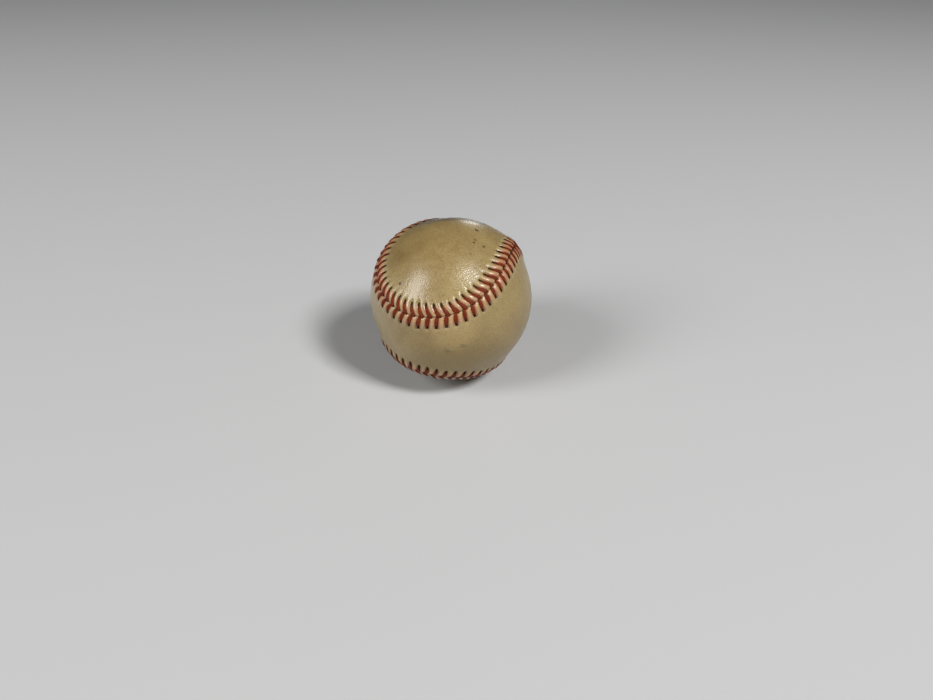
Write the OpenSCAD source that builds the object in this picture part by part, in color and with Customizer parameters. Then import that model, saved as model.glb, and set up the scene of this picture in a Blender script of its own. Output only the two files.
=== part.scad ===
// Regulation hardball with a two-panel leather cover, sewn by hand with two waxed threads
// over wound wool and a cushioned cork centre. Millimetres.
// Origin at the centre of the ball, +Z up, standing on plain leather at the bottom.

/* [Ball] */
// diameter over the plain leather, away from the seam
ball_d = 74.0; // [72.8:0.2:74.8]
// thickness of the cover leather
leather_t = 1.3; // [1.2:0.05:1.4]
// how far the leather stands proud beside the seam
welt_h = 1.0; // [0.95:0.05:1.15]
// distance from the seam at which the raised leather has sunk back to the ball
welt_w = 8.5; // [8:0.5:9.5]
// slit left between the two panel edges for the threads
seam_gap = 1.0; // [0.95:0.05:1.1]

/* [Seam curve] */
// main swing of the seam in latitude, degrees
seam_lat = 66.35; // [65.5:0.25:67]
// flattening of the turns of the seam, degrees
seam_flat = -1.47; // [-2:0.1:0]
// sideways swing of the seam in longitude, degrees
seam_swing = 21.8; // [21:0.2:23]

/* [Stitching] */
// stitches round the whole seam, an even number
stitch_count = 108; // [96:4:108]
// thickness of the waxed thread where it lies on the leather
thread_d = 0.9; // [0.8:0.05:0.9]
// punched holes of panel A, distance from the seam
hole_row_a = 5.5; // [5.3:0.1:5.6]
// punched holes of panel B, distance from the seam
hole_row_b = 5.2; // [5.1:0.1:5.6]
// how far the holes of panel A lie behind the points of the stitches, in stitches
lag_a = 0.46; // [0.4:0.02:0.5]
// how far the holes of panel B lie behind the points of the stitches, in stitches
lag_b = 0.40; // [0.36:0.02:0.5]
// side of the small punched hole
hole_w = 1.0; // [0.95:0.05:1.05]

/* [Windings and centre] */
// diameter over the first winding, four-ply grey wool
wind1_d = 62.6; // [61:0.2:63.4]
// diameter over the second winding, three-ply white wool
wind2_d = 66.2; // [65:0.2:67]
// diameter over the third winding, three-ply grey wool
wind3_d = 69.8; // [68.6:0.2:70]
// thickness of the rubber cement on the finished winding
cement_t = 0.1; // [0.1:0.05:0.2]
// diameter of the cork and rubber core
core_d = 20.6; // [20:0.2:21.4]
// diameter over the black rubber shells
shell_d = 28.6; // [28:0.2:29.4]
// diameter over the red rubber jacket
pill_d = 33.4; // [33:0.2:34]
// thickness of the red gasket between the two black shells
gasket_t = 0.8; // [0.6:0.1:1.2]

/* [Pose] */
// turn of the ball about X as it lies, degrees
pose_x = -157.1; // [-180:0.1:180]
// turn of the ball about Y as it lies, degrees
pose_y = 81.7; // [-90:0.1:90]
// turn of the ball about Z as it lies, degrees
pose_z = 79.9; // [-180:0.1:180]

/* [Hidden] */

ball_r = ball_d/2;
// the flat facets inside each panel clear the round winding by this much
seat_clear = 0.1;
body_r = ball_r - leather_t - seat_clear;
cotton_r = body_r - cement_t;

// ---- the seam curve, symmetrical about its own Z axis ----
function lat(t) = seam_lat*cos(t) + seam_flat*cos(3*t);
function lon(t) = t/2 + seam_swing*sin(2*t);
function seam_dir(t) = [cos(lat(t))*cos(lon(t)), cos(lat(t))*sin(lon(t)), sin(lat(t))];

// running length along the curve on a ball of radius 1, by short chords
arc_n = 1440;
arc_p = [for (i = [0:arc_n]) seam_dir(720*i/arc_n)];
arc_s = [for (i = 0, s = 0; i <= arc_n;
              s = s + (i < arc_n ? norm(arc_p[i + 1] - arc_p[i]) : 0), i = i + 1) s];
arc_tab = [for (i = [0:arc_n]) [arc_s[i], 720*i/arc_n]];
seam_len = arc_s[arc_n];

function wrap(s) = s - seam_len*floor(s/seam_len);
// parameter of the curve at u stitches from its start
function t_at(u) = lookup(wrap(u*seam_len/stitch_count), arc_tab);
function unit(v) = v/norm(v);
function across(t) = cross(seam_dir(t), unit(seam_dir(t + 0.05) - seam_dir(t - 0.05)));
// direction from the centre to a place u stitches along and w millimetres to one side
function place(u, w) =
    let (t = t_at(u), a = w/ball_r*180/PI)
    unit(cos(a)*seam_dir(t) + sin(a)*across(t));

// ---- the cover panels ----
// side -1 is panel A, side +1 is panel B
function hole_row(side) = side < 0 ? hole_row_a : hole_row_b;
function lag(side) = side < 0 ? lag_a : lag_b;

// rows that run beside the seam: distance and height of the leather there
function near_w(side) = [seam_gap/2, hole_row(side)/2, hole_row(side) - hole_w/2,
                         hole_row(side) + hole_w/2];
near_h = [welt_h, 0.9*welt_h, 0.94*welt_h, 0.9*welt_h];
rim_h = 0.15*welt_h;
inner_rows = 5;

// half of the small hole, in stitches
half_u = hole_w/2/(seam_len*ball_r/stitch_count);
lobe_end = 90 + seam_lat + seam_flat;
spine_end = 112;
n = stitch_count;

// middle line of a panel: panel A turns about -Z towards X, panel B about +Z towards Y
function foot(side, c) = side < 0 ? atan2(c[0], -c[2]) : atan2(c[1], c[2]);
function on_spine(side, a) = side < 0 ? [sin(a), 0, -cos(a)] : [0, sin(a), cos(a)];
function spine_of(side, k) =
    let (a = foot(side, place(k + 0.5, 0)))
    on_spine(side, spine_end*sin(90*a/lobe_end));
// the two long edges of a panel share the points of its middle line
function shared(side, k) =
    let (h = n/2, m = side < 0 ? k : (k + n/4) % n)
    m < h ? m : n - 1 - m;
function first_of(side, j) = side < 0 ? j : (j - n/4 + n) % n;

function near_pts(side, r0) =
    [for (row = [0:3]) for (i = [0:2*n - 1])
        let (k = floor(i/2), d = i % 2 == 0 ? -half_u : half_u)
        (r0 + near_h[row])*place(k + lag(side) + d, side*near_w(side)[row])];
function inner_pts(side, r0) =
    [for (row = [0:inner_rows - 1]) for (k = [0:n - 1])
        let (f = row/inner_rows, h = row == 0 ? rim_h : 0,
             p = place(k + 0.5, side*welt_w), q = spine_of(side, k))
        (r0 + h)*unit((1 - f)*p + f*q)];
function spine_pts(side, r0) =
    [for (j = [0:n/2 - 1]) r0*spine_of(side, first_of(side, j))];
function skin(side, r0) = concat(near_pts(side, r0), inner_pts(side, r0), spine_pts(side, r0));

skin_n = 8*n + inner_rows*n + n/2;
// index of a point in one skin
function ni(row, i) = row*2*n + ((i + 2*n) % (2*n));
function ii(row, k) = 8*n + row*n + ((k + n) % n);
function si(side, k) = 8*n + inner_rows*n + shared(side, (k + n) % n);

function quad(a, b, c, d) = [[a, b, c], [a, c, d]];
function flat1(list) = [for (l = list) for (x = l) x];

function skin_faces(side) = concat(
    // beside the seam, leaving the punched holes open
    flat1([for (row = [0:2]) for (i = [0:2*n - 1])
        if (!(row == 2 && i % 2 == 0))
            quad(ni(row, i), ni(row, i + 1), ni(row + 1, i + 1), ni(row + 1, i))]),
    // from the double row to the single row
    flat1([for (k = [0:n - 1]) [
        [ni(3, 2*k), ni(3, 2*k + 1), ii(0, k)],
        [ni(3, 2*k + 1), ni(3, 2*k + 2), ii(0, k + 1)],
        [ni(3, 2*k + 1), ii(0, k + 1), ii(0, k)]]]),
    flat1([for (row = [0:inner_rows - 2]) for (k = [0:n - 1])
        quad(ii(row, k), ii(row, k + 1), ii(row + 1, k + 1), ii(row + 1, k))]),
    // to the middle line
    flat1([for (k = [0:n - 1])
        let (a = ii(inner_rows - 1, k), b = ii(inner_rows - 1, k + 1),
             c = si(side, k + 1), d = si(side, k))
        c == d ? [[a, b, c]] : quad(a, b, c, d)]));

function turned(faces) = [for (f = faces) [f[2], f[1], f[0]]];
function moved(faces, by) = [for (f = faces) [f[0] + by, f[1] + by, f[2] + by]];

// the cut edge beside the seam and the walls of the holes
function wall(a, b) = [[b, a, a + skin_n], [b, a + skin_n, b + skin_n]];
function walls(side) = concat(
    flat1([for (i = [0:2*n - 1]) wall(ni(0, i), ni(0, i + 1))]),
    flat1([for (k = [0:n - 1])
        let (a = ni(2, 2*k), b = ni(2, 2*k + 1), c = ni(3, 2*k + 1), d = ni(3, 2*k))
        concat(wall(b, a), wall(c, b), wall(d, c), wall(a, d))]));

module cover_panel(side) {
    out = skin(side, ball_r);
    in = skin(side, ball_r - leather_t);
    top = skin_faces(side);
    all = concat(top, moved(turned(top), skin_n), walls(side));
    rotate([pose_x, pose_y, pose_z])
        polyhedron(points = concat(out, in), faces = side > 0 ? turned(all) : all);
}

// ---- the threads ----
thread_r = thread_d/2;
under_r = thread_r - 0.07;
stitch_w = seam_len*ball_r/n;
// half the distance between the two threads where they cross in the slit, in stitches
cross_u = (thread_r + 0.03)/stitch_w;
hole_top = ball_r + 0.94*welt_h + thread_r + 0.06;
slit_top = ball_r + welt_h + thread_r + 0.15;
low_level = body_r + under_r + 0.18;
sides = 6;

function hole_dir(k, side) = place(k + lag(side), side*hole_row(side));
function slit_dir(k, side) = place(k + side*cross_u, 0);
function along(k) = unit(place(k + 0.1, 0) - place(k - 0.1, 0));

// middle line of a thread: up through a hole, over the leather, down the slit and on
// under the other panel to its next hole
function side_of(first, j) = j % 2 == 0 ? first : -first;
function thread_line(first) =
    [for (j = [0:n - 1])
        let (k = n - 1 - j, h = hole_dir(k, side_of(first, j)),
             s = slit_dir(k, side_of(first, j)))
        each [h*low_level, h*hole_top, s*slit_top, s*low_level]];

// six points round the thread where it bends from direction d1 to d2
function ring(c, d1, d2, t, r) =
    let (nb = unit(d1 + d2), x = cross(d1, d2),
         mb = norm(x) < 0.01 ? unit(t - (t*nb)*nb) : unit(x),
         wb = cross(nb, mb), stretch = 1/(nb*d1),
         a0 = atan2((t*wb)/stretch, t*mb))
    [for (q = [0:sides - 1])
        let (a = a0 + 360/sides*q) c + r*(cos(a)*mb + stretch*sin(a)*wb)];

module thread(first) {
    line = thread_line(first);
    m = len(line);
    dirs = [for (i = [0:m - 2]) unit(line[i + 1] - line[i])];
    rings = [for (i = [0:m - 1])
        each ring(line[i], dirs[max(i - 1, 0)], dirs[min(i, m - 2)],
                  along(n - 1 - floor(i/4)), i % 4 == 1 || i % 4 == 2 ? thread_r : under_r)];
    tube = flat1([for (i = [0:m - 2]) for (q = [0:sides - 1])
        let (a = i*sides + q, b = i*sides + (q + 1) % sides)
        quad(a, a + sides, b + sides, b)]);
    tip = (m - 1)*sides;
    ends = flat1([for (q = [1:sides - 2]) [[0, q, q + 1], [tip, tip + q + 1, tip + q]]]);
    rotate([pose_x, pose_y, pose_z])
        polyhedron(points = rings, faces = concat(tube, ends));
}

// ---- windings and centre ----
module ball_layer(r_out, r_in) {
    difference() {
        sphere(r = r_out, $fn = 96);
        sphere(r = r_in, $fn = 96);
    }
}

module shell_half(up) {
    intersection() {
        ball_layer(shell_d/2, core_d/2);
        translate([0, 0, up*(gasket_t/2 + shell_d/2)])
            cube([2*shell_d, 2*shell_d, shell_d], center = true);
    }
}

module cork_core() {
    color("#b98a5a")
        sphere(r = core_d/2, $fn = 96);
}

module black_shell_lower() {
    color("#26241f")
        shell_half(-1);
}

module black_shell_upper() {
    color("#2c2a25")
        shell_half(1);
}

module shell_gasket() {
    color("#8e2a20")
        intersection() {
            ball_layer(shell_d/2, core_d/2);
            cube([2*shell_d, 2*shell_d, gasket_t], center = true);
        }
}

module red_jacket() {
    color("#9c3427")
        ball_layer(pill_d/2, shell_d/2);
}

module winding_inner_grey() {
    color("#8d8b86")
        ball_layer(wind1_d/2, pill_d/2);
}

module winding_white() {
    color("#d9d4c6")
        ball_layer(wind2_d/2, wind1_d/2);
}

module winding_outer_grey() {
    color("#9a9893")
        ball_layer(wind3_d/2, wind2_d/2);
}

module winding_cotton() {
    color("#e3ddca")
        ball_layer(cotton_r, wind3_d/2);
}

module cement_coat() {
    color("#cdbf98")
        ball_layer(body_r, cotton_r);
}

module cover_panel_a() {
    color("#c9b078")
        cover_panel(-1);
}

module cover_panel_b() {
    color("#c3a970")
        cover_panel(1);
}

module thread_a() {
    color("#8c1f22")
        thread(-1);
}

module thread_b() {
    color("#93272a")
        thread(1);
}

cork_core();
black_shell_lower();
black_shell_upper();
shell_gasket();
red_jacket();
winding_inner_grey();
winding_white();
winding_outer_grey();
winding_cotton();
cement_coat();
cover_panel_a();
cover_panel_b();
thread_a();
thread_b();
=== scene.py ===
"""A used, yellowed baseball: two leather panels, 108 red stitches, wound core.

Everything is in metres in the row frame; the constants below that end in _MM are
millimetres, and angles are degrees unless a name says otherwise.
"""

import math

import bmesh
import bpy
import numpy as np
from mathutils import Matrix, Vector


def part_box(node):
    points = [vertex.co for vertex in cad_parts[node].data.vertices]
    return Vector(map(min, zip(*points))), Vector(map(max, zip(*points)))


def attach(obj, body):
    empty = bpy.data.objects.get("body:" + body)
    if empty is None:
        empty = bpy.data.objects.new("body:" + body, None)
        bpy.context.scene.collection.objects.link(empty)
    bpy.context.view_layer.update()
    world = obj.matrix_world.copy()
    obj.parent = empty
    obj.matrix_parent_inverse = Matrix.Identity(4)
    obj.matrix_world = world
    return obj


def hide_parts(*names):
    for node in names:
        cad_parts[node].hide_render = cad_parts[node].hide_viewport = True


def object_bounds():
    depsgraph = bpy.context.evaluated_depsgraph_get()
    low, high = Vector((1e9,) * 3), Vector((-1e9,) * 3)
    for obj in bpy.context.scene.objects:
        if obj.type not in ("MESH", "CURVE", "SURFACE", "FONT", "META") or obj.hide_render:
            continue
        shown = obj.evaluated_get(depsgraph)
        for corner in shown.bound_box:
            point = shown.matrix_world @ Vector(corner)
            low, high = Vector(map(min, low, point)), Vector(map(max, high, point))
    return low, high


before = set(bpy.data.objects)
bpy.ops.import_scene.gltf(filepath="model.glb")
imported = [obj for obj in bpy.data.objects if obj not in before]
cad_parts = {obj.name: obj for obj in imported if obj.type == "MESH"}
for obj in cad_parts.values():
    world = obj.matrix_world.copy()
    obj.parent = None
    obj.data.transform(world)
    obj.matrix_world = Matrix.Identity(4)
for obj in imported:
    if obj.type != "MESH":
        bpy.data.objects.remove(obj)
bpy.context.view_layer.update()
MM = 0.001

# ---------------------------------------------------------------- dimensions
BODY_R_MM = (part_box("cement_coat")[1][2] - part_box("cement_coat")[0][2]) / 2 / MM
LEATHER_T_MM = 1.3
SEAT_CLEAR_MM = 0.1
BALL_R_MM = BODY_R_MM + LEATHER_T_MM + SEAT_CLEAR_MM

# the seam curve and the pose, as the CAD model has them
SEAM_LAT, SEAM_FLAT, SEAM_SWING = 66.35, -1.47, 21.8
LOBE_END = 90 + SEAM_LAT + SEAM_FLAT  # from the middle of a panel to the end of its lobe
SPINE_END = 112.0  # where a panel's middle line ends, on the same measure
POSE = (-157.1, 81.7, 79.9)  # turns about X, then Y, then Z

# stitching: side -1 is panel A, side +1 is panel B
STITCHES = 108
HOLE_ROW_MM = {-1: 5.5, 1: 5.2}  # distance of the holes from the seam
LAG = {-1: 0.46, 1: 0.40}  # how far the holes lie behind the point of the V, in stitches
CROSS = 0.16  # the two threads pass this far apart in the slit, in stitches

# raised leather beside the seam
WELT_MM = 0.95
WELT_FALL_FROM_MM, WELT_FALL_TO_MM, WELT_FALL_POWER = 2.0, 12.0, 0.75
PILLOW_MM, PILLOW_AT_MM, PILLOW_HALF_MM = 0.62, 2.8, 2.6  # leather swelling between legs
BEYOND_MM = 0.07  # the same waves, fading out past the holes
GROOVE_MM, GROOVE_VARIES_MM, GROOVE_HALF_MM = 0.22, 0.08, 0.70  # pressed in under a leg
DIMPLE_MM, DIMPLE_R_MM = 0.34, 0.95  # pulled down round a hole
HOLE_DEPTH_MM, HOLE_R_MM = 1.0, 0.34
EDGE_MM, EDGE_HALF_MM = 0.34, 0.36  # rounded down into the slit
SLIT_MM, SLIT_WIDER_MM, SLIT_REACH_MM = 0.03, 0.30, 0.40  # half width, and round a thread
FAR = 9.0  # the mark of a point that no leg or hole is near

# mesh fineness
ALONG = 18  # samples in each stitch
COARSER = 3  # samples beside the seam for each one further in; narrowing() is made for 3
NEAR_EDGE_MM = 12.2  # width of the finer part of a panel
INNER_ROWS = 14  # rows from there to the middle line
OUTER_ROWS_MM = np.concatenate([[0, 0.07, 0.16, 0.28, 0.42, 0.6, 0.8], np.arange(1.0, 7.2, 0.2),
                                np.arange(7.2, NEAR_EDGE_MM + 0.01, 0.5)])
INNER_ROWS_MM = (0.0, 2.6, 5.6, NEAR_EDGE_MM)
MIDDLE_MARK = 25.0  # the seam mark of the middle line
INNER_WELT = 0.93  # how much of the welt the underside of the leather follows

# ---------------------------------------------------------------- camera
CAM_DISTANCE = 0.3268  # from the centre of the ball
CAM_ELEVATION = 31.02
LOOK_DOWN, LOOK_RIGHT, ROLL = 35.2, 1.637, 1.1  # which way the lens points from there
LENS_MM, SENSOR_MM = 27.01, 36.0


def make_camera():
    """The photograph's viewing angle: above the ball, looking along +Y and down."""
    pitch, yaw, roll = (math.radians(a) for a in (LOOK_DOWN, LOOK_RIGHT, ROLL))
    elevation = math.radians(CAM_ELEVATION)
    flat = Vector((math.sin(yaw), math.cos(yaw), 0))
    forward = flat * math.cos(pitch) - Vector((0, 0, math.sin(pitch)))
    right0 = Vector((math.cos(yaw), -math.sin(yaw), 0))
    up0 = right0.cross(forward)
    right = right0 * math.cos(roll) + up0 * math.sin(roll)
    up = up0 * math.cos(roll) - right0 * math.sin(roll)
    data = bpy.data.cameras.new("camera")
    data.lens, data.sensor_width = LENS_MM, SENSOR_MM
    data.clip_start = 0.01
    cam = bpy.data.objects.new("camera", data)
    bpy.context.scene.collection.objects.link(cam)
    m = Matrix((right, up, -forward)).transposed().to_4x4()
    m.translation = CAM_DISTANCE * Vector((0, -math.cos(elevation), math.sin(elevation)))
    cam.matrix_world = m
    bpy.context.scene.camera = cam


make_camera()


# ---------------------------------------------------------------- seam curve
def seam_dir(t):
    """Unit direction of the seam at parameter t (radians, 0 to 4 pi)."""
    lat = np.radians(SEAM_LAT) * np.cos(t) + np.radians(SEAM_FLAT) * np.cos(3 * t)
    lon = t / 2 + np.radians(SEAM_SWING) * np.sin(2 * t)
    return np.stack([np.cos(lat) * np.cos(lon), np.cos(lat) * np.sin(lon), np.sin(lat)], -1)


# length along the seam at each parameter, for a ball of radius 1
SEAM_T = np.linspace(0, 4 * np.pi, 40001)
SEAM_STEPS = np.linalg.norm(np.diff(seam_dir(SEAM_T), axis=0), axis=1)
SEAM_S = np.concatenate([[0], np.cumsum(SEAM_STEPS)])
SEAM_LEN = SEAM_S[-1]
STITCH_MM = SEAM_LEN * BALL_R_MM / STITCHES


def unit(v):
    """Vectors scaled to length 1."""
    return v / np.linalg.norm(v, axis=-1, keepdims=True)


def pose_matrix():
    """Turns the seam's own frame, which the curve is written in, to the ball as it lies."""
    rx, ry, rz = (math.radians(a) for a in POSE)
    m = Matrix.Rotation(rz, 3, "Z") @ Matrix.Rotation(ry, 3, "Y") @ Matrix.Rotation(rx, 3, "X")
    return np.array(m)


TURN = pose_matrix()


def seam_frame(u):
    """Direction, across direction and along direction u stitches along the seam."""
    s = np.mod(np.asarray(u, float) * SEAM_LEN / STITCHES, SEAM_LEN)
    t = np.interp(s, SEAM_S, SEAM_T)
    c = seam_dir(t)
    along = unit(seam_dir(t + 1e-3) - seam_dir(t - 1e-3))
    return c, np.cross(c, along), along


def place(u, w):
    """Unit direction of a point u stitches along and w mm across (+ towards panel B)."""
    u, w = np.broadcast_arrays(np.asarray(u, float), np.asarray(w, float))
    c, across, _ = seam_frame(u)
    a = (w / BALL_R_MM)[..., None]
    return unit(np.cos(a) * c + np.sin(a) * across)


# ---------------------------------------------------------------- leather surface
def smooth(x):
    """0 to 1 with soft ends, for x from 0 to 1."""
    x = np.clip(x, 0, 1)
    return x * x * (3 - 2 * x)


def stitch_noise(salt):
    """One steady random number from -1 to 1 for each stitch."""
    return np.random.default_rng(salt).uniform(-1, 1, STITCHES)


# how the leg of each stitch differs: shift in stitches, tension, width, reach in mm
LEG_SHIFT = {-1: 0.035 * stitch_noise(11), 1: 0.035 * stitch_noise(12)}
LEG_TENSION = {-1: stitch_noise(21), 1: stitch_noise(22)}
LEG_WIDTH = {-1: 1 + 0.14 * stitch_noise(31), 1: 1 + 0.12 * stitch_noise(32)}
LEG_REACH = {-1: 0.28 * stitch_noise(41), 1: 0.28 * stitch_noise(42)}
TIGHT_STITCH, TIGHT_SPREAD, TIGHTER = 36, 9, 0.20  # thinner legs on the right flank
TIGHT = np.exp(-((np.arange(STITCHES) - TIGHT_STITCH) / TIGHT_SPREAD) ** 2)
for row_side in LEG_WIDTH:
    LEG_WIDTH[row_side] = LEG_WIDTH[row_side] * (1 - TIGHTER * TIGHT)
BUNCHED_STITCH = 48  # one leg on panel A where the thread has piled up
LEG_WIDTH[-1][BUNCHED_STITCH] = 1.40
LEG_REACH[-1][BUNCHED_STITCH] = -0.45

# fine unevenness: waves across the ball in random directions
LUMP_MM, LUMP_WAVES = 0.13, 14
LUMP_RNG = np.random.default_rng(5)
LUMP_AXES = (unit(LUMP_RNG.normal(size=(LUMP_WAVES, 3)))
             * LUMP_RNG.uniform(2.0, 7.0, (LUMP_WAVES, 1)))
LUMP_PHASE = LUMP_RNG.uniform(0, 2 * np.pi, LUMP_WAVES)

# where the ball is out of round: azimuth, elevation, height in mm, spread in degrees
BULGES = [(88, 15, 0.75, 38), (135, 45, 0.60, 30), (-40, 55, 0.25, 30), (-62, -14, -1.00, 24),
          (121, 41, 0.65, 15), (-150, 57, -0.55, 18)]


def direction(azimuth, elevation):
    """Unit vector; azimuth 0 is -Y, towards the viewer, and 90 is +X."""
    a, e = math.radians(azimuth), math.radians(elevation)
    return Vector((math.sin(a) * math.cos(e), -math.cos(a) * math.cos(e), math.sin(e)))


def lumps(d):
    """Slight unevenness of a wound ball, mm, for unit directions in the seam's frame."""
    waves = np.sin(d @ LUMP_AXES.T + LUMP_PHASE) / np.linalg.norm(LUMP_AXES, axis=1)
    out = LUMP_MM * waves.sum(-1)
    for azimuth, elevation, height, spread in BULGES:
        cos_angle = np.clip((d @ TURN.T) @ np.array(direction(azimuth, elevation)), -1, 1)
        out = out + height * np.exp(-((np.degrees(np.arccos(cos_angle)) / spread) ** 2))
    return out


def welt(w):
    """Height of the leather above the ball at w mm from the seam."""
    x = (w - WELT_FALL_FROM_MM) / (WELT_FALL_TO_MM - WELT_FALL_FROM_MM)
    return WELT_MM * (1 - smooth(np.clip(x, 0, 1) ** WELT_FALL_POWER))


def leg_u(side, w):
    """Where a leg crosses distance w, in stitches from the point of its stitch."""
    x = np.minimum(np.asarray(w) / HOLE_ROW_MM[side], 1)
    x = 0.45 * smooth(x) + 0.55 * x * (2 - x)
    return side * CROSS + (LAG[side] - side * CROSS) * x


def nearest_leg(u, w, side):
    """Number of the nearest stitch, and how far u is from its leg, in stitches."""
    rel = u - leg_u(side, np.minimum(w, HOLE_ROW_MM[side]))
    k = np.round(rel).astype(int)
    k = np.where(np.abs(rel - LEG_SHIFT[side][k % STITCHES] - k) > 0.5,
                 k + np.sign(rel - k).astype(int), k)
    off = rel - k - LEG_SHIFT[side][k % STITCHES]
    return k % STITCHES, off


def edge_gap(u):
    """Half width of the slit between the panels, mm; it parts round the threads."""
    frac = u - np.round(u)
    near = np.minimum(np.abs(frac - CROSS), np.abs(frac + CROSS)) * STITCH_MM
    return SLIT_MM + SLIT_WIDER_MM * np.exp(-((near / SLIT_REACH_MM) ** 2))


def surface(u, w, side):
    """Height of the outer leather above the ball, and its distances to a leg and a hole."""
    k, off = nearest_leg(u, w, side)
    row = HOLE_ROW_MM[side] + LEG_REACH[side][k]
    tension = LEG_TENSION[side][k]
    d = off * STITCH_MM
    inside = smooth((row + 0.6 - w) / 1.0)
    between = np.abs(np.sin(np.pi * off)) ** 0.65
    pillow = (between - 0.25) * np.exp(-(((w - PILLOW_AT_MM) / PILLOW_HALF_MM) ** 2))
    fade = smooth((w - row + 1.0) / 1.5) * np.exp(-np.clip(w - row, 0, None) / 2.2)
    beyond = BEYOND_MM * (between - 0.6) * fade
    groove = np.exp(-((d / GROOVE_HALF_MM) ** 2)) * inside
    groove = -(GROOVE_MM + GROOVE_VARIES_MM * tension) * groove
    # the hole is long across the seam, and longer on the side of the leg
    hole = np.hypot(1.3 * d, (w - row + 0.35) / np.where(w < row - 0.35, 2.6, 1.3))
    dimple = -DIMPLE_MM * np.exp(-((hole / DIMPLE_R_MM) ** 2))
    pit = -HOLE_DEPTH_MM * np.exp(-((hole / HOLE_R_MM) ** 4))
    edge = -EDGE_MM * np.exp(-(((w - edge_gap(u)) / EDGE_HALF_MM) ** 2))
    h = welt(w) + PILLOW_MM * pillow + beyond + groove + dimple + pit + edge
    return h, np.where(w < row + 0.4, np.abs(d), FAR), hole


# ---------------------------------------------------------------- mesh helpers
def new_mesh(name, points, faces, attributes, material):
    """A smooth-shaded object from points in mm, with float attributes on its points."""
    me = bpy.data.meshes.new(name)
    me.from_pydata((points * MM).tolist(), [], faces)
    for key, values in attributes.items():
        a = me.attributes.new(key, "FLOAT", "POINT")
        a.data.foreach_set("value", np.asarray(values, np.float32).ravel())
    me.polygons.foreach_set("use_smooth", [True] * len(me.polygons))
    me.materials.append(material)
    me.update()
    ob = bpy.data.objects.new(name, me)
    bpy.context.scene.collection.objects.link(ob)
    return ob


def strip(a, b):
    """Quads between two closed rows of point numbers."""
    return np.stack([a, np.roll(a, -1), np.roll(b, -1), b], 1).tolist()


def narrowing(fine, coarse):
    """Faces from a row of 3n points to a row of n, each over its middle point."""
    n = len(coarse)
    out = []
    for j in range(n):
        f = fine[3 * j], fine[3 * j + 1], fine[3 * j + 2], fine[(3 * j + 3) % (3 * n)]
        c, c2 = coarse[j], coarse[(j + 1) % n]
        out += [[f[0], f[1], c], [f[1], f[2], c], [f[2], f[3], c2, c]]
    return out


# ---------------------------------------------------------------- cover panels
def spine_rows(side, count):
    """For each of count samples, the number of its point on the middle line.

    The two long edges of a panel share these points; owner is the first sample of each.
    """
    half = count // 2
    shift = 0 if side < 0 else count // 4
    m = (np.arange(count) + shift) % count
    owner = (np.arange(half) - shift) % count
    return np.where(m < half, m, count - 1 - m), owner


def spine_points(side, u):
    """Point on the middle line of the panel for samples at u."""
    c = place(u, 0.0)
    foot = np.arctan2(c[:, 0], -c[:, 2]) if side < 0 else np.arctan2(c[:, 1], c[:, 2])
    a = np.radians(SPINE_END) * np.sin(foot * 90 / LOBE_END)
    zero = np.zeros_like(a)
    if side < 0:
        return np.stack([np.sin(a), zero, -np.cos(a)], 1)
    return np.stack([zero, np.sin(a), np.cos(a)], 1)


class Shell:
    """Collects a panel's points, their marks and its faces."""

    def __init__(self):
        self.points, self.marks, self.faces = [], [], []
        self.count = 0

    def add(self, points, seam, leg, hole):
        """Adds a row of points and gives back their numbers."""
        numbers = np.arange(self.count, self.count + len(points))
        self.count += len(points)
        self.points.append(points)
        self.marks.append(np.stack([seam, leg, hole], 1))
        return numbers

    def add_plain(self, points, seam):
        """Adds a row that is far from every leg and hole."""
        far = np.full(len(points), FAR)
        return self.add(points, np.full(len(points), seam), far, far)


def join_rows(near_rows, far_rows, last_row):
    """Faces between the finer rows beside the seam, the coarser ones and the middle line."""
    faces = []
    for a, b in zip(near_rows[:-1], near_rows[1:]):
        faces += strip(a, b)
    faces += narrowing(near_rows[-1], far_rows[0])
    for a, b in zip(far_rows[:-1], far_rows[1:]):
        faces += strip(a, b)
    return faces + strip(far_rows[-1], last_row)


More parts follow.
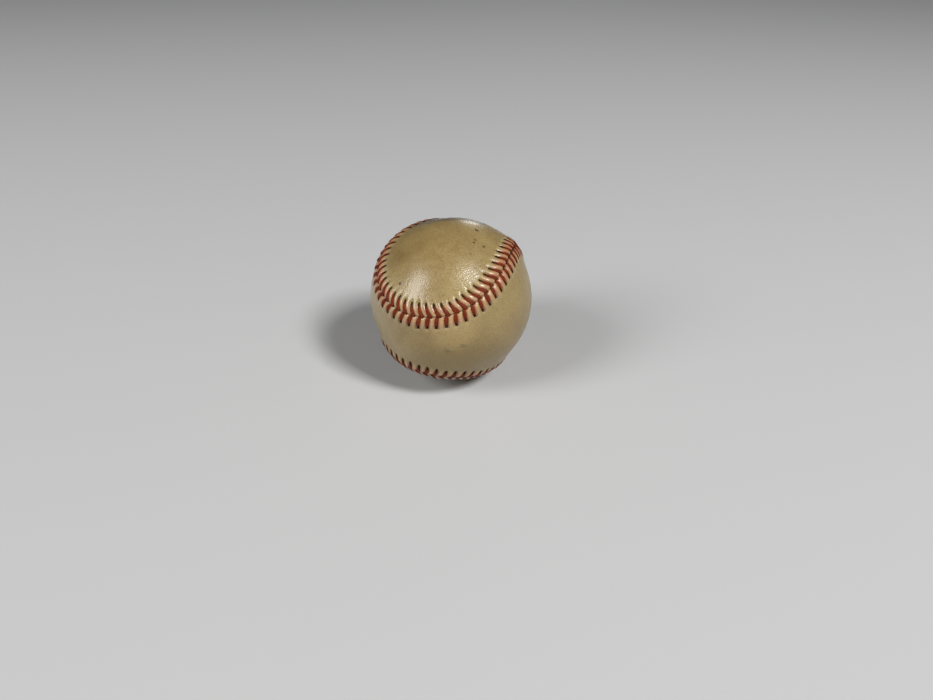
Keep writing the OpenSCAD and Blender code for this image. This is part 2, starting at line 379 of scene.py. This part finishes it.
def make_panel(name, side, material):
    """One leather panel as a closed shell with a turned, punched and puckered edge."""
    n_fine = STITCHES * ALONG
    n_coarse = n_fine // COARSER
    u_fine = (np.arange(n_fine) + 0.5) / ALONG
    u_coarse = u_fine[1::COARSER]
    gap = edge_gap(u_fine)
    shell = Shell()

    def at(w0):
        """Distance from the seam of the row w0; the slit bends the first rows."""
        return gap + w0 * (NEAR_EDGE_MM - gap) / NEAR_EDGE_MM

    # outer skin beside the seam
    outer = []
    for w0 in OUTER_ROWS_MM:
        w = at(w0)
        d = place(u_fine, side * w)
        h, leg, hole = surface(u_fine, w, side)
        outer.append(shell.add(d * (BALL_R_MM + h + lumps(d))[:, None], w, leg, hole))
    # outer skin to the middle line
    share, owner = spine_rows(side, n_coarse)
    middle = spine_points(side, u_coarse[owner])
    q = middle[share]
    p = place(u_coarse, side * NEAR_EDGE_MM)
    to_middle = np.arccos((p * q).sum(1)) * BALL_R_MM
    outer_far = []
    far = np.full(n_coarse, FAR)
    for j in range(1, INNER_ROWS):
        f = j / INNER_ROWS
        d = unit((1 - f) * p + f * q)
        points = d * (BALL_R_MM + lumps(d))[:, None]
        outer_far.append(shell.add(points, NEAR_EDGE_MM + f * to_middle, far, far))
    outer_middle = shell.add_plain(middle * (BALL_R_MM + lumps(middle))[:, None], MIDDLE_MARK)
    shell.faces += join_rows(outer, outer_far, outer_middle[share])

    # inner skin, coarser
    under = BALL_R_MM - LEATHER_T_MM
    inner, inner_points = [], []
    for w0 in INNER_ROWS_MM:
        w = at(w0)
        d = place(u_fine, side * w)
        inner_points.append(d * (under + INNER_WELT * welt(w) + lumps(d))[:, None])
        inner.append(shell.add_plain(inner_points[-1], FAR))
    inner_far = []
    for j in (3, 6, 9, 12):
        f = j / INNER_ROWS
        d = unit((1 - f) * p + f * q)
        inner_far.append(shell.add_plain(d * (under + lumps(d))[:, None], FAR))
    inner_middle = shell.add_plain(middle * (under + lumps(middle))[:, None], FAR)
    lower = join_rows(inner, inner_far, inner_middle[share])
    shell.faces += [f[::-1] for f in lower]

    # cut edge
    top, bottom = shell.points[0], inner_points[0]
    ring = outer[0]
    for f in (0.35, 0.7):
        next_ring = shell.add_plain(top * (1 - f) + bottom * f, 0.0)
        shell.faces += strip(next_ring, ring)
        ring = next_ring
    shell.faces += strip(inner[0], ring)
    faces = [drop_doubles(f) for f in shell.faces]
    if side < 0:
        faces = [f[::-1] for f in faces]
    marks = np.concatenate(shell.marks)
    return new_mesh(name, np.concatenate(shell.points) @ TURN.T, faces,
                    {"seam": marks[:, 0], "leg": marks[:, 1], "hole": marks[:, 2]}, material)


def drop_doubles(face):
    """The face without a corner that it repeats."""
    return [v for i, v in enumerate(face) if v != face[i - 1]]


# ---------------------------------------------------------------- threads
LOW_MM = 0.55  # centre of the thread above the wound body under the leather
LEG = {
    # place on the leg (0 hole, 1 point of the V), height above the leather, half width and depth
    -1: [(0.02, -0.34, 0.14, 0.18), (0.10, 0.00, 0.17, 0.22), (0.20, 0.10, 0.22, 0.26),
         (0.34, 0.16, 0.40, 0.33), (0.54, 0.20, 0.70, 0.38), (0.74, 0.22, 0.84, 0.38),
         (0.90, 0.20, 0.76, 0.36), (1.00, 0.10, 0.46, 0.32), (1.06, -0.16, 0.26, 0.26)],
    1: [(0.02, -0.34, 0.14, 0.18), (0.10, 0.00, 0.18, 0.22), (0.20, 0.12, 0.31, 0.30),
        (0.34, 0.18, 0.54, 0.36), (0.54, 0.22, 0.86, 0.38), (0.74, 0.22, 0.82, 0.38),
        (0.90, 0.18, 0.66, 0.36), (0.98, 0.06, 0.44, 0.32), (1.03, -0.18, 0.28, 0.26)],
}
HIDDEN_MM = 0.34  # half width of the thread under the leather
TENSION_MM = 0.04  # how much lower a tight leg lies
SIDES = 16  # of the tube
PLIES, PLY_DEPTH, PLY_TURN_MM = 3, 0.10, 3.4
STEPS = 3  # rings between two controls


def thread_controls(first):
    """Control points of one thread: position, half width, half depth, place on the leg."""
    pos, size, mark = [], [], []

    def put(p, a, b, f):
        pos.append(p)
        size.append((a, b))
        mark.append(f)

    low = BODY_R_MM + LOW_MM
    for j in range(STITCHES):
        k = STITCHES - 1 - j
        side = first if j % 2 == 0 else -first
        row = HOLE_ROW_MM[side] + LEG_REACH[side][k]
        shift = LEG_SHIFT[side][k]
        hole = place(k + leg_u(side, row) + shift, side * row)
        slit = place(k + side * CROSS, 0.0)
        nxt = HOLE_ROW_MM[-side]
        k2 = (k - 1) % STITCHES
        away = place(k - 1 + leg_u(-side, nxt) + LEG_SHIFT[-side][k2], -side * nxt)
        pull = TENSION_MM * LEG_TENSION[side][k]
        put(hole * low, HIDDEN_MM, HIDDEN_MM, 0.0)
        put(hole * (BALL_R_MM - 0.15), HIDDEN_MM, HIDDEN_MM, 0.0)
        for f, up, a, b in LEG[side]:
            w = row * (1 - f)
            d = place(k + leg_u(side, w) + shift * (1 - f), side * w)
            r = BALL_R_MM + welt(w) + lumps(d) + up - pull
            put(d * r, a * LEG_WIDTH[side][k], b, f)
        put(slit * (BALL_R_MM + 0.1), HIDDEN_MM, HIDDEN_MM, 1.0)
        put(slit * low, HIDDEN_MM, HIDDEN_MM, 1.0)
        if j < STITCHES - 1:
            put(unit(slit + away) * (low + 0.02), 0.36, 0.30, 1.0)
    return np.array(pos), np.array(size), np.array(mark)


def catmull(values, steps):
    """Values at steps places in every interval of a Catmull-Rom spline."""
    v = values
    padded = np.concatenate([[2 * v[0] - v[1]], v, [2 * v[-1] - v[-2]]])
    a, b, c, d = padded[:-3], padded[1:-2], padded[2:-1], padded[3:]
    out = []
    for x in np.arange(steps) / steps:
        out.append(0.5 * (2 * b + (c - a) * x + (2 * a - 5 * b + 4 * c - d) * x**2
                          + (3 * b - 3 * c + d - a) * x**3))
    inner = np.stack(out, 1).reshape(-1, v.shape[1])
    return np.concatenate([inner, v[-1:]])


def make_thread(name, first, material):
    """One twisted thread through all its holes, as a closed tube."""
    pos, size, mark = thread_controls(first)
    line = catmull(pos, STEPS)
    size = catmull(size, STEPS)
    mark = np.interp(np.arange(len(line)) / STEPS, np.arange(len(mark)), mark)
    tangent = unit(np.gradient(line, axis=0))
    # the flat of the thread lies along the seam
    controls_a_stitch = len(pos) / STITCHES
    stitch = np.arange(len(line)) / STEPS / controls_a_stitch
    _, _, along = seam_frame(STITCHES - 1 - np.minimum(stitch, STITCHES - 1e-6))
    m = unit(along - (along * tangent).sum(1, keepdims=True) * tangent)
    up = np.cross(tangent, m)
    length = np.concatenate([[0], np.cumsum(np.linalg.norm(np.diff(line, axis=0), axis=1))])
    phi = np.arange(SIDES) * 2 * np.pi / SIDES
    twist = length[:, None] * 2 * np.pi / PLY_TURN_MM
    ply = 1 + PLY_DEPTH * (np.abs(np.cos(PLIES / 2 * (phi[None] - twist))) * 2 - 1.2)
    ring = (line[:, None] + (size[:, :1] * np.cos(phi) * ply)[..., None] * m[:, None]
            + (size[:, 1:] * np.sin(phi) * ply)[..., None] * up[:, None])
    n = len(line)
    ids = np.arange(n * SIDES).reshape(n, SIDES)
    faces = []
    for a, b in zip(ids[:-1], ids[1:]):
        faces += strip(a, b)
    faces += [ids[0][::-1].tolist(), ids[-1].tolist()]
    pts = ring.reshape(-1, 3) @ TURN.T
    ones = np.ones(SIDES)
    marks = {"leg_f": np.outer(mark, ones), "run": np.outer(length, ones),
             "turn": (phi[None] - twist) / (2 * np.pi)}
    return new_mesh(name, pts, faces, marks, material)


# ---------------------------------------------------------------- windings
BALL_FINE, BALL_PLAIN = 7, 5  # subdivisions of the outside and the inside of a winding


def icosphere(subdivisions):
    """Points of a ball of radius 1 and its triangles."""
    bm = bmesh.new()
    bmesh.ops.create_icosphere(bm, subdivisions=subdivisions, radius=1.0)
    points = np.array([v.co for v in bm.verts])
    faces = np.array([[v.index for v in f.verts] for f in bm.faces])
    bm.free()
    return unit(points), faces


def node_radius(node):
    """Outer radius of a ball-shaped CAD node, mm."""
    low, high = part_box(node)
    return (high[2] - low[2]) / 2 / MM


def make_winding(name, node, inside, strands, width, relief, seed, material):
    """Yarn wound round and round a ball: great circles that lie over each other."""
    rng = np.random.default_rng(seed)
    d, faces = icosphere(BALL_FINE)
    outer_r, inner_r = node_radius(node), node_radius(inside)
    height = np.full(len(d), -relief)
    strand, across, run = (np.zeros(len(d)) for _ in range(3))
    for i in range(strands):
        axis = unit(rng.normal(size=3))
        side = unit(np.cross(axis, [0.31, 0.95, 0.05]))
        x = (np.arcsin(d @ axis) * outer_r - rng.uniform(-2, 2)) / (width / 2)
        round_top = np.sqrt(np.clip(1 - x * x, 0, 1))
        level = -relief * (0.75 * (1 - i / strands) + 0.25 * (1 - round_top))
        on_top = (np.abs(x) < 1) & (level > height)
        height[on_top] = level[on_top]
        strand[on_top] = rng.uniform(0, 1)
        across[on_top] = x[on_top]
        run[on_top] = np.arctan2(d @ np.cross(axis, side), d @ side)[on_top] * outer_r
    core, core_faces = icosphere(BALL_PLAIN)
    points = np.concatenate([d * (outer_r + height)[:, None], core * inner_r])
    faces = faces.tolist() + (core_faces[:, ::-1] + len(d)).tolist()
    pad = np.zeros(len(core))
    marks = {key: np.concatenate([v, pad]) for key, v in
             (("strand", strand), ("across", across), ("run", run))}
    return new_mesh(name, points, faces, marks, material)


# ---------------------------------------------------------------- materials
PLAIN_SPECULAR = 0.5  # the shader's own value


class Nodes:
    """Short way to write a node tree."""

    def __init__(self, name):
        self.mat = bpy.data.materials.new(name)
        self.mat.use_nodes = True
        self.t = self.mat.node_tree
        self.shader = self.t.nodes["Principled BSDF"]
        self.coord = self.t.nodes.new("ShaderNodeTexCoord").outputs["Object"]

    def new(self, kind, **settings):
        node = self.t.nodes.new(kind)
        for key, value in settings.items():
            setattr(node, key, value)
        return node

    def link(self, value, socket):
        """Joins a socket to another, or gives it a plain value."""
        if isinstance(value, bpy.types.NodeSocket):
            self.t.links.new(value, socket)
        else:
            socket.default_value = value

    def noise(self, scale, detail=3.0, rough=0.5, distort=0.0, vector=None):
        n = self.new("ShaderNodeTexNoise")
        self.link(vector or self.coord, n.inputs["Vector"])
        n.inputs["Scale"].default_value = scale
        n.inputs["Detail"].default_value = detail
        n.inputs["Roughness"].default_value = rough
        n.inputs["Distortion"].default_value = distort
        return n.outputs["Fac"]

    def voronoi(self, scale, feature="F1"):
        n = self.new("ShaderNodeTexVoronoi", feature=feature)
        self.link(self.coord, n.inputs["Vector"])
        n.inputs["Scale"].default_value = scale
        return n.outputs["Distance"]

    def attr(self, name):
        """One of the float attributes that new_mesh put on the points."""
        return self.new("ShaderNodeAttribute", attribute_name=name).outputs["Fac"]

    def math(self, op, a, b=0.0):
        n = self.new("ShaderNodeMath", operation=op)
        self.link(a, n.inputs[0])
        self.link(b, n.inputs[1])
        return n.outputs[0]

    def times(self, a, b):
        return self.math("MULTIPLY", a, b)

    def ramp(self, value, low, high, out_low=0.0, out_high=1.0, kind="SMOOTHSTEP"):
        """out_low where value is low or less, out_high where it is high or more."""
        n = self.new("ShaderNodeMapRange", interpolation_type=kind)
        for key, v in (("Value", value), ("From Min", low), ("From Max", high),
                       ("To Min", out_low), ("To Max", out_high)):
            self.link(v, n.inputs[key])
        return n.outputs["Result"]

    def mix(self, fac, a, b):
        """Colour a, or b as far as fac says."""
        n = self.new("ShaderNodeMix", data_type="RGBA")
        self.link(fac, n.inputs["Factor"])
        self.link(a, n.inputs[6])
        self.link(b, n.inputs[7])
        return n.outputs[2]

    def bump(self, height, strength, distance, normal=None):
        n = self.new("ShaderNodeBump")
        n.inputs["Strength"].default_value = strength
        n.inputs["Distance"].default_value = distance
        self.link(height, n.inputs["Height"])
        if normal is not None:
            self.link(normal, n.inputs["Normal"])
        return n.outputs["Normal"]

    def near(self, azimuth, elevation, inner, outer):
        """1 within inner degrees of a place on the ball, fading to 0 outer degrees away."""
        n = self.new("ShaderNodeVectorMath", operation="NORMALIZE")
        self.link(self.coord, n.inputs[0])
        dot = self.new("ShaderNodeVectorMath", operation="DOT_PRODUCT")
        self.link(n.outputs[0], dot.inputs[0])
        dot.inputs[1].default_value = direction(azimuth, elevation)
        return self.ramp(dot.outputs["Value"], math.cos(math.radians(outer)),
                         math.cos(math.radians(inner)))

    def finish(self, colour, roughness, specular, normal):
        """Sets the shader; roughness may be a socket, specular is one plain value."""
        self.link(colour, self.shader.inputs["Base Color"])
        self.link(roughness, self.shader.inputs["Roughness"])
        self.shader.inputs["Specular IOR Level"].default_value = specular
        self.link(normal, self.shader.inputs["Normal"])
        return self.mat


def rgb(r, g, b):
    return (r, g, b, 1.0)


# marks on the leather: azimuth, elevation, radius of the core, radius of the whole, strength
STAINS = ((-76, 56, 3, 24, 0.50), (-62, 46, 2, 10, 0.30), (-109, 67, 2, 14, 0.35))
# the rim marks are partly a brown stain and partly painted shade: a dark band just inside the
# ball's upper outline
RIM_STAINS_AND_SHADE = ((-176, 68, 5, 17, 1.0), (-156, 65, 5, 17, 1.0), (-138, 60, 4, 15, 1.0),
              (146, 61, 4, 16, 1.0))
SPOTS = ((83, 72.1, 0.2, 2.0, 1.0), (50, 68.4, 0.2, 1.3, 0.8), (43, 66.8, 0.2, 1.3, 0.8),
         (51.8, 60.9, 0.2, 1.6, 0.9), (26.4, 59.5, 0.2, 0.9, 0.5), (-43.5, 33.9, 0.2, 1.5, 0.95))
SCUFFS = ((1, -5, 2, 6, 0.80), (8, -4, 1, 5, 0.65), (33, -11, 2, 8, 0.25))


def add_marks(n, col, places, pattern, colour):
    """Paints colour at the places, as far as pattern lets it show."""
    for azimuth, elevation, core, whole, strength in places:
        shown = n.times(n.near(azimuth, elevation, core, whole), pattern)
        col = n.mix(n.times(shown, strength), col, colour)
    return col


def leather_tint(n, mottle, speck):
    """Yellowed hide, darker low down and on the right, with painted highlights: a pale glow on
    the front and on the left flank.
    """
    blotch = n.ramp(n.noise(38, 4, 0.55, 0.4), 0.36, 0.66)
    col = n.mix(blotch, rgb(0.282, 0.190, 0.068), rgb(0.372, 0.270, 0.107))
    col = n.mix(n.times(mottle, 0.35), col, rgb(0.385, 0.295, 0.135))
    col = n.mix(n.times(speck, 0.22), col, rgb(0.20, 0.135, 0.05))
    low = n.times(n.near(8, -37, 5, 51), 0.70)
    low = n.math("MAXIMUM", low, n.times(n.near(85, 0, 5, 42), 0.40))
    col = n.mix(low, col, rgb(0.212, 0.147, 0.042))
    # painted highlight: a broad pale glow on the front of the ball
    col = n.mix(n.times(n.near(2, 11, 2, 21), 0.55), col, rgb(0.450, 0.325, 0.133))
    # painted highlight: the left lamp's sheen, spread wider over the left flank
    return n.mix(n.times(n.near(-78, 8, 6, 46), 0.38), col, rgb(0.480, 0.380, 0.215))


def leather_marks(n, col, mottle):
    """Brown stains, a dark rim that is partly stain and partly painted shade, spots, and grey
    scuffs where a mark has rubbed off.
    """
    patchy = n.ramp(n.noise(70, 3, 0.5, 0.2), 0.30, 0.70, 0.35, 1.0)
    col = add_marks(n, col, STAINS, patchy, rgb(0.150, 0.085, 0.022))
    # dark rim: partly brown stain, partly painted shade along the ball's upper outline
    patchy = n.ramp(n.noise(110, 3, 0.5, 0.2), 0.30, 0.70, 0.60, 1.0)
    col = add_marks(n, col, RIM_STAINS_AND_SHADE, patchy, rgb(0.085, 0.045, 0.010))
    patchy = n.ramp(mottle, 0.0, 0.6, 0.6, 1.0)
    col = add_marks(n, col, SPOTS, patchy, rgb(0.060, 0.016, 0.004))
    stretched = n.new("ShaderNodeVectorMath", operation="MULTIPLY")
    n.link(n.coord, stretched.inputs[0])
    stretched.inputs[1].default_value = (0.35, 0.35, 1.7)
    dashes = n.ramp(n.noise(900, 3, 0.6, vector=stretched.outputs[0]), 0.52, 0.60)
    return add_marks(n, col, SCUFFS, dashes, rgb(0.095, 0.072, 0.045))


def leather_beside_seam(n, col, seam, leg):
    """Painted highlights on the swollen leather between the legs, and dye that has run from the
    thread.
    """
    # painted highlight on the crests of the swollen leather between the legs
    crest_highlight = n.times(n.ramp(leg, 0.9, 1.7, 0.0, 1.0), n.ramp(seam, 3.0, 7.5, 1.0, 0.0))
    col = n.mix(n.times(crest_highlight, 0.42), col, rgb(0.60, 0.43, 0.25))
    patchy = n.ramp(n.noise(300, 3), 0.30, 0.70, 0.35, 1.0)
    band = n.times(n.ramp(seam, 2.6, 5.4, 1.0, 0.0), patchy)
    flanks = n.math("MAXIMUM", n.times(n.near(66, 44, 8, 46), 0.65), n.near(-84, 25, 8, 40))
    band = n.times(band, n.ramp(flanks, 0.0, 1.0, 0.36, 0.80))
    col = n.mix(band, col, rgb(0.520, 0.205, 0.105))
    dye = n.times(n.ramp(leg, 0.6, 1.9, 1.0, 0.0), n.ramp(seam, 3.8, 5.6, 1.0, 0.0))
    return n.mix(n.times(n.times(dye, patchy), 0.62), col, rgb(0.34, 0.090, 0.040))


def leather():
    """Yellowed, handled cowhide with grain, stains, specks and thread dye."""
    n = Nodes("cover_leather")
    seam, leg, hole = n.attr("seam"), n.attr("leg"), n.attr("hole")
    mottle = n.ramp(n.noise(260, 6, 0.6), 0.35, 0.70)
    speck = n.ramp(n.noise(1900, 3, 0.6), 0.30, 0.75)
    cell = n.voronoi(1500)
    pebble = n.ramp(n.times(cell, cell), 0.0, 0.55, 1.0, 0.0, "LINEAR")
    # mask of the slit and the holes: it paints shade into the colour below, and also sets
    # roughness and coat
    slit_and_hole_shade = n.math("MAXIMUM", n.ramp(seam, 0.04, 0.22, 0.6, 0.0),
                   n.ramp(hole, 0.30, 0.62, 1.0, 0.0))
    col = leather_tint(n, mottle, speck)
    col = leather_marks(n, col, mottle)
    # dirt and painted shade in the hollows between the pebbles of the grain
    col = n.mix(n.ramp(pebble, 0.10, 0.60, 0.26, 0.0), col, rgb(0.150, 0.100, 0.038))
    col = leather_beside_seam(n, col, seam, leg)
    # painted shade in the slit and the holes
    col = n.mix(n.times(slit_and_hole_shade, 0.88), col, rgb(0.045, 0.020, 0.010))
    rough = n.math("MAXIMUM", n.ramp(mottle, 0.0, 1.0, 0.33, 0.43), n.times(slit_and_hole_shade, 0.8))
    # the rubbed polish over the grain is smoother than the grain
    wrinkle = n.bump(n.noise(420, 2, 0.5, 0.3), 0.15, 0.00016)
    grain = n.bump(speck, 0.3, 0.00003, n.bump(pebble, 0.60, 0.00009, wrinkle))
    n.link(n.ramp(slit_and_hole_shade, 0.0, 1.0, 0.46, 0.0), n.shader.inputs["Coat Weight"])
    n.shader.inputs["Coat Roughness"].default_value = 0.21
    n.link(n.bump(pebble, 0.36, 0.00007, wrinkle), n.shader.inputs["Coat Normal"])
    return n.finish(col, rough, 0.42, grain)


def waxed_thread():
    """Dark red waxed cotton: plies and fibres, with painted shade in the ply grooves and near
    black painted shade where it enters the leather.
    """
    n = Nodes("red_thread")
    f, turn, run = n.attr("leg_f"), n.attr("turn"), n.attr("run")
    ply = n.math("ABSOLUTE", n.math("COSINE", n.times(turn, PLIES * math.pi)))
    along_fibre = n.new("ShaderNodeCombineXYZ")
    n.link(n.times(turn, 9.0), along_fibre.inputs[0])
    n.link(n.times(run, 0.5), along_fibre.inputs[1])
    fibre = n.noise(3.0, 4, 0.6, vector=along_fibre.outputs[0])
    patch = n.ramp(n.noise(330, 4, 0.6), 0.3, 0.7)
    col = n.mix(patch, rgb(0.068, 0.0065, 0.002), rgb(0.152, 0.019, 0.005))
    col = n.mix(n.ramp(fibre, 0.35, 0.7), col, rgb(0.255, 0.044, 0.013))
    # painted shade in the grooves between the plies
    col = n.mix(n.ramp(ply, 0.0, 0.5, 0.75, 0.0), col, rgb(0.030, 0.004, 0.002))
    # painted shade: near black where the thread dives into a hole or down into the slit
    dark = n.math("MAXIMUM", n.ramp(f, 0.14, 0.42, 1.0, 0.0), n.ramp(f, 0.96, 1.05, 0.0, 0.8))
    col = n.mix(n.times(dark, 0.93), col, rgb(0.016, 0.006, 0.002))
    return n.finish(col, 0.58, 0.13, n.bump(fibre, 0.5, 0.00008))


def yarn(name, dark, light, ply_mm):
    """Wound wool or cotton: twisted plies, loose fibres and a different tint a strand, with
    painted shade in the ply grooves and along each strand's edges.
    """
    n = Nodes(name)
    strand, across, run = n.attr("strand"), n.attr("across"), n.attr("run")
    lay = n.math("ADD", n.times(run, 2 * math.pi / ply_mm), n.times(across, 2.2))
    ply = n.ramp(n.math("SINE", lay), -1.0, 0.6)
    fibre = n.ramp(n.noise(1900, 4, 0.7, 1.0), 0.3, 0.7)
    col = n.mix(n.times(fibre, 0.6), rgb(*light), rgb(*dark))
    col = n.mix(n.times(strand, 0.45), col, rgb(*dark))
    # painted shade in the grooves between the plies
    col = n.mix(n.ramp(ply, 0.0, 0.7, 0.45, 0.0), col, rgb(*dark))
    # painted shade along the edges of each strand, where it lies beside and under its neighbours
    col = n.mix(n.ramp(n.math("ABSOLUTE", across), 0.75, 1.0, 0.0, 0.6), col, rgb(*dark))
    n.shader.inputs["Sheen Weight"].default_value = 0.3
    return n.finish(col, 0.95, 0.15, n.bump(fibre, 0.5, 0.00012, n.bump(ply, 0.6, 0.00025)))


def rubber(name, dark, light, rough):
    """Cast rubber, slightly uneven in colour and surface."""
    n = Nodes(name)
    col = n.mix(n.ramp(n.noise(150, 4), 0.3, 0.7), rgb(*dark), rgb(*light))
    return n.finish(col, rough, PLAIN_SPECULAR, n.bump(n.noise(900, 3, 0.6), 0.3, 0.00008))


def cork():
    """Cork granules bound with rubber."""
    n = Nodes("cork_rubber")
    cell = n.voronoi(420)
    edge = n.voronoi(420, "DISTANCE_TO_EDGE")
    col = n.mix(n.ramp(cell, 0.1, 0.9), rgb(0.52, 0.33, 0.17), rgb(0.30, 0.17, 0.08))
    col = n.mix(n.ramp(edge, 0.0, 0.08, 1.0, 0.0), col, rgb(0.10, 0.06, 0.04))
    return n.finish(col, 0.9, PLAIN_SPECULAR, n.bump(edge, 0.5, 0.0002))


def show(piece, node):
    """Shows a Blender piece in place of a CAD node."""
    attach(piece, "root")
    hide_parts(node)


def paint(node, material):
    """Gives a carried-over CAD node its procedural material."""
    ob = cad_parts[node]
    ob.data.materials.clear()
    ob.data.materials.append(material)


# ---------------------------------------------------------------- build the ball
LEATHER = leather()
THREAD = waxed_thread()
SIDE = (("a", -1), ("b", 1))
for letter, side in SIDE:
    show(make_panel(f"leather_panel_{letter}", side, LEATHER), f"cover_panel_{letter}")
for letter, first in SIDE:
    show(make_thread(f"stitch_thread_{letter}", first, THREAD), f"thread_{letter}")

GREY_WOOL = yarn("grey_wool", (0.13, 0.125, 0.12), (0.42, 0.41, 0.39), 1.9)
WHITE_WOOL = yarn("white_wool", (0.42, 0.38, 0.30), (0.84, 0.81, 0.72), 1.6)
COTTON = yarn("cotton", (0.46, 0.41, 0.30), (0.86, 0.82, 0.72), 1.0)
# piece, node, node inside it, strands, width and relief in mm, seed, material, slot
for name, node, inside, strands, width, relief, seed, material, slot in (
        ("yarn_inner_grey", "winding_inner_grey", "red_jacket", 110, 2.4, 0.9, 61, GREY_WOOL,
         "grey_wool"),
        ("yarn_white", "winding_white", "winding_inner_grey", 130, 2.0, 0.8, 62, WHITE_WOOL,
         "white_wool"),
        ("yarn_outer_grey", "winding_outer_grey", "winding_white", 130, 2.0, 0.8, 63, GREY_WOOL,
         "grey_wool"),
        ("yarn_cotton", "winding_cotton", "winding_outer_grey", 190, 1.5, 0.3, 64, COTTON,
         "cotton")):
    show(make_winding(name, node, inside, strands, width, relief, seed, material), node)

RED_RUBBER = rubber("red_rubber", (0.30, 0.045, 0.03), (0.40, 0.07, 0.045), 0.7)
BLACK_RUBBER = rubber("black_rubber", (0.018, 0.017, 0.016), (0.04, 0.038, 0.036), 0.75)
paint("cork_core", cork())
paint("black_shell_lower", BLACK_RUBBER)
paint("black_shell_upper", BLACK_RUBBER)
paint("shell_gasket", RED_RUBBER)
paint("red_jacket", RED_RUBBER)
paint("cement_coat", rubber("rubber_cement", (0.50, 0.42, 0.25), (0.66, 0.57, 0.36), 0.4))

# ---------------------------------------------------------------- floor and light
FLOOR_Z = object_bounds()[0][2]
FLOOR_SIZE = 6.0
WORLD_COLOUR, WORLD_STRENGTH = (0.95, 0.97, 1.0, 1.0), 0.03


def make_floor():
    """A plain pale sheet under the ball."""
    n = Nodes("floor_paper")
    n.link(rgb(0.53, 0.53, 0.53), n.shader.inputs["Base Color"])
    n.shader.inputs["Roughness"].default_value = 0.9
    n.shader.inputs["Specular IOR Level"].default_value = 0.1
    me = bpy.data.meshes.new("floor")
    s = FLOOR_SIZE / 2
    me.from_pydata([(-s, -s, FLOOR_Z), (s, -s, FLOOR_Z), (s, s, FLOOR_Z), (-s, s, FLOOR_Z)],
                   [], [(0, 1, 2, 3)])
    me.materials.append(n.mat)
    floor = bpy.data.objects.new("floor", me)
    bpy.context.scene.collection.objects.link(floor)


def area_light(name, azimuth, elevation, distance, width, height, watts):
    """A softbox that faces the ball."""
    data = bpy.data.lights.new(name, "AREA")
    data.shape = "RECTANGLE"
    data.size, data.size_y = width, height
    data.energy = watts
    ob = bpy.data.objects.new(name, data)
    d = direction(azimuth, elevation)
    ob.location = d * distance
    ob.rotation_euler = d.to_track_quat("Z", "Y").to_euler()
    bpy.context.scene.collection.objects.link(ob)


make_floor()
area_light("softbox_left", -62.3, 34.9, 2.0, 0.68, 0.95, 24.0)
area_light("softbox_right", 48.5, 49.5, 2.0, 0.40, 0.48, 37.0)
area_light("back_strip", 171.3, 5.5, 3.0, 0.30, 0.16, 2.6)
world = bpy.data.worlds.new("studio")
world.use_nodes = True
background = world.node_tree.nodes["Background"]
background.inputs["Color"].default_value = WORLD_COLOUR
background.inputs["Strength"].default_value = WORLD_STRENGTH
bpy.context.scene.world = world
bpy.context.scene.view_settings.view_transform = "Standard"
